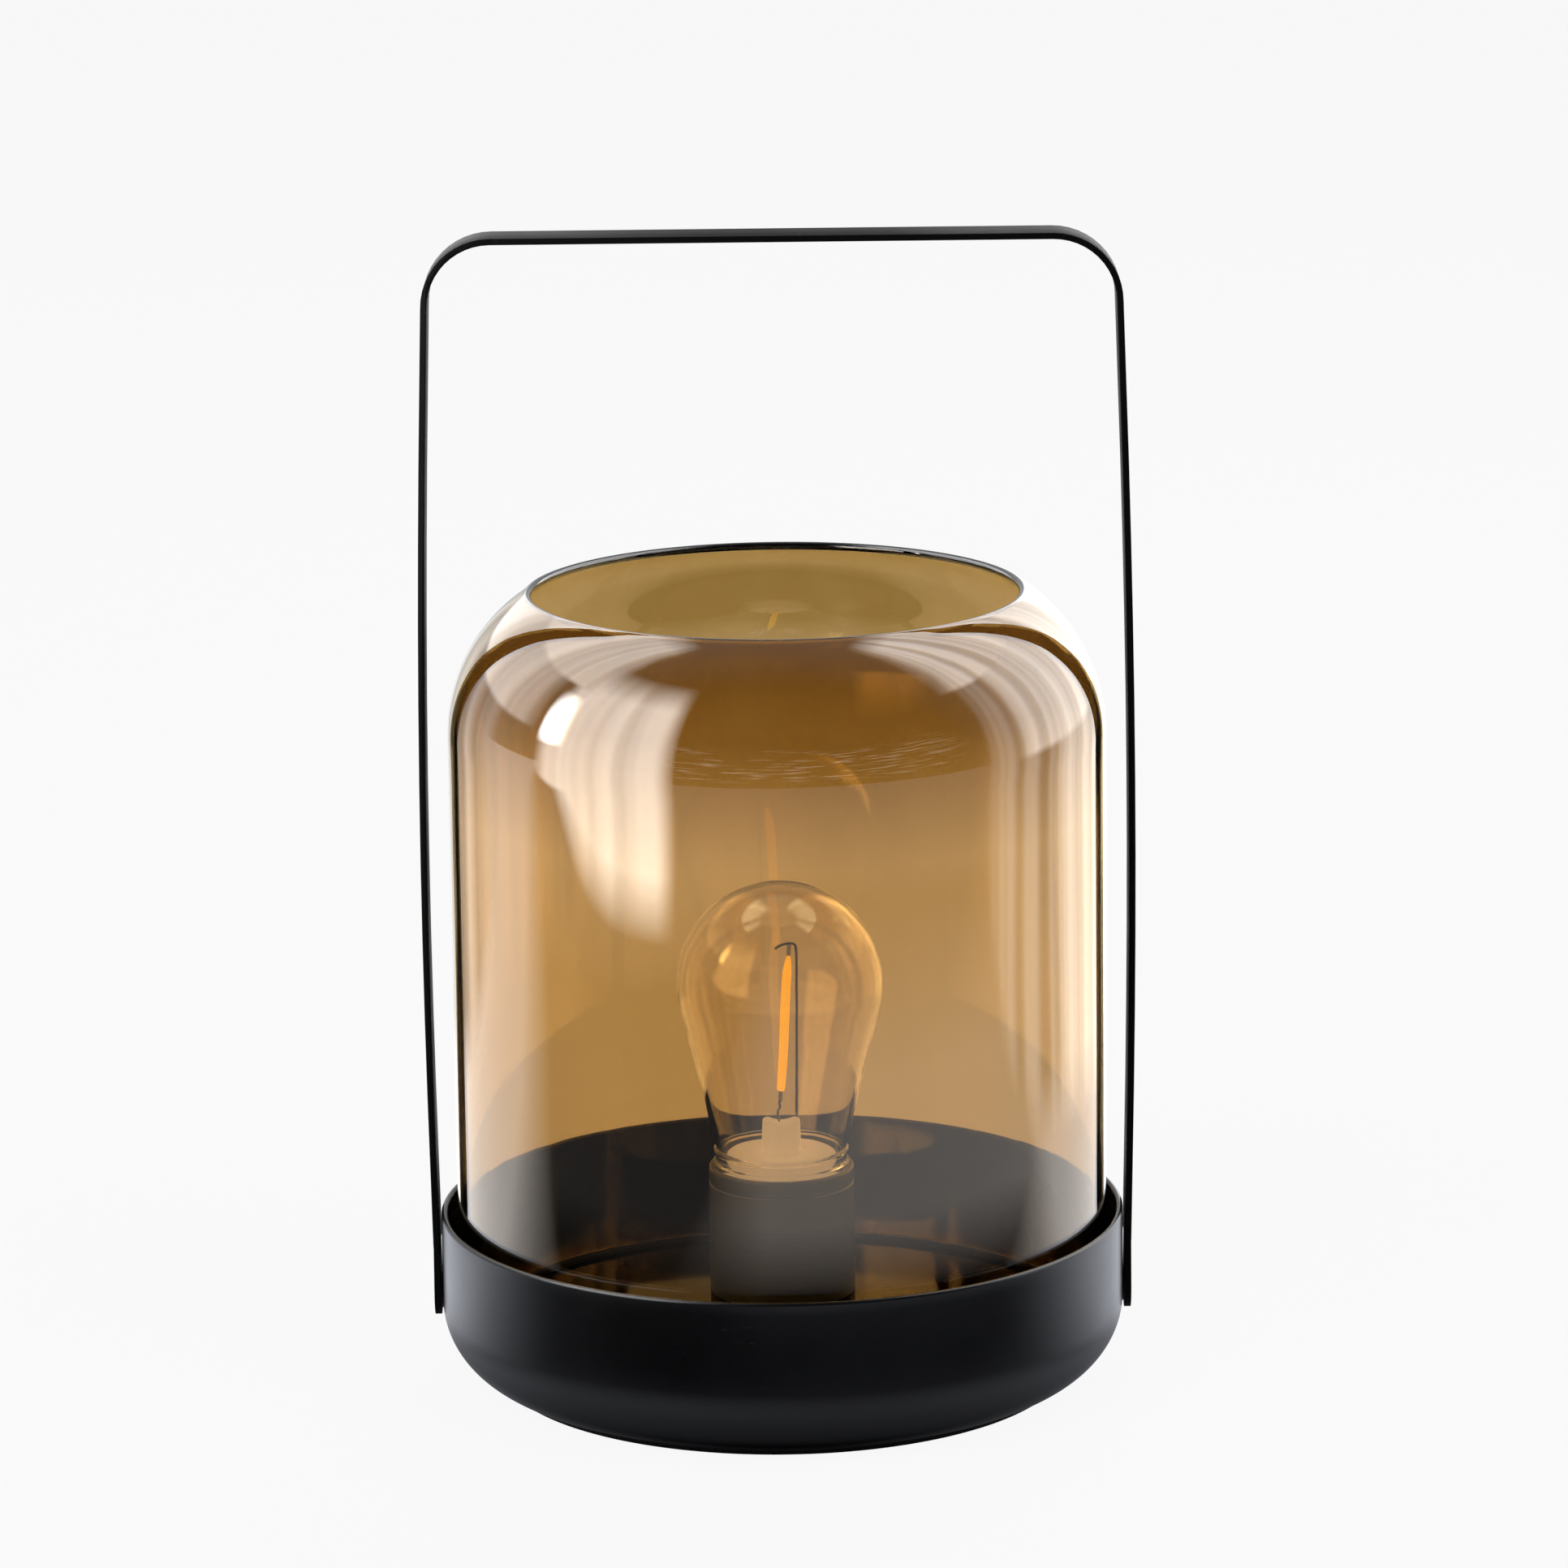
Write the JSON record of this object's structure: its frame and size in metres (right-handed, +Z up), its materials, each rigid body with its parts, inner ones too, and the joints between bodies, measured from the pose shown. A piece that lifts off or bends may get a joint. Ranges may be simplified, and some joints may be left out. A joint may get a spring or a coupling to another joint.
{
  "type": "battery lantern",
  "caption": "Battery lantern: open amber glass in a round metal base, bent strip bail handle, filament-style LED bulb on a post, battery well and timer switch underneath.",
  "frame": {"origin": "on the lantern's axis, at the underside of its foot ring, where it stands", "axes": "+Z up along the axis; the handle lies in the XZ plane; the switch is on the +X side underneath; the battery door's tabs are on the -Y side"},
  "size_m": [0.1656, 0.16, 0.27],
  "materials": {
    "black_powder_coat": "satin powder coat over steel",
    "black_gloss_plastic": "gloss moulded ABS",
    "black_matte_plastic": "fine-textured moulded ABS",
    "charcoal_satin": "satin moulded ABS",
    "black_silicone": "matt silicone",
    "black_rubber": "matt non-slip rubber",
    "black_nylon": "matt nylon",
    "amber_glass": "blown glass with an amber lustre coat",
    "clear_glass": "clear blown glass",
    "white_stem": "satin white",
    "phosphor": "silicone with orange phosphor",
    "tinned_metal": "tinned",
    "zinc_steel": "zinc plated",
    "black_screws": "black oxide",
    "brass": "turned brass",
    "battery_sleeve": "plain printed film on steel",
    "board": "solder mask",
    "black_epoxy": "moulded epoxy",
    "ceramic_parts": "surface-mount ceramic",
    "grey_plastic": "moulded",
    "red_wire": "PVC sleeve",
    "black_wire": "PVC sleeve"
  },
  "bodies": {
    "base": {"bowl": "black_powder_coat", "inner_housing": "black_gloss_plastic", "glass_cushion": "black_silicone", "lamp_post": "charcoal_satin", "post_screws": "zinc_steel", "bulb_envelope": "clear_glass", "bulb_stem": "white_stem", "led_filament": "phosphor", "filament_tabs": "tinned_metal", "filament_wires": "tinned_metal", "handle_screws": "black_screws", "handle_washers": "black_nylon", "handle_inserts": "brass", "underside_cover": "black_matte_plastic", "cover_screws": "zinc_steel", "foot_ring": "black_rubber", "battery_1": "battery_sleeve", "battery_2": "battery_sleeve", "battery_3": "battery_sleeve", "battery_springs": "tinned_metal", "contact_plates": "tinned_metal", "circuit_board": "board", "timer_chip": "black_epoxy", "board_parts": "ceramic_parts", "solder_joints": "tinned_metal", "switch_body": "tinned_metal", "led_lead_red": "red_wire", "led_lead_black": "black_wire", "battery_lead_red": "red_wire", "battery_lead_black": "black_wire"},
    "handle": {"handle": "black_powder_coat"},
    "glass": {"glass_shade": "amber_glass"},
    "battery_door": {"battery_door": "black_matte_plastic"},
    "switch": {"switch_slider": "grey_plastic"}
  },
  "joints": [
    {"name": "handle_swing", "type": "hinge", "parent": "base", "child": "handle", "pos_m": [0, 0, 0.02002], "axis": [1, 0, 0], "range_deg": [-93, 93]},
    {"name": "glass_lift", "type": "slide", "parent": "base", "child": "glass", "axis": [0, 0, 1], "range_m": [0, 0.06]},
    {"name": "battery_door_hinge", "type": "hinge", "parent": "base", "child": "battery_door", "pos_m": [0, -0.025, 0.0015], "axis": [-1, 0, 0], "range_deg": [0, 75]},
    {"name": "switch_slide", "type": "slide", "parent": "base", "child": "switch", "axis": [0, 1, 0], "range_m": [-0.002, 0.002]}
  ]
}
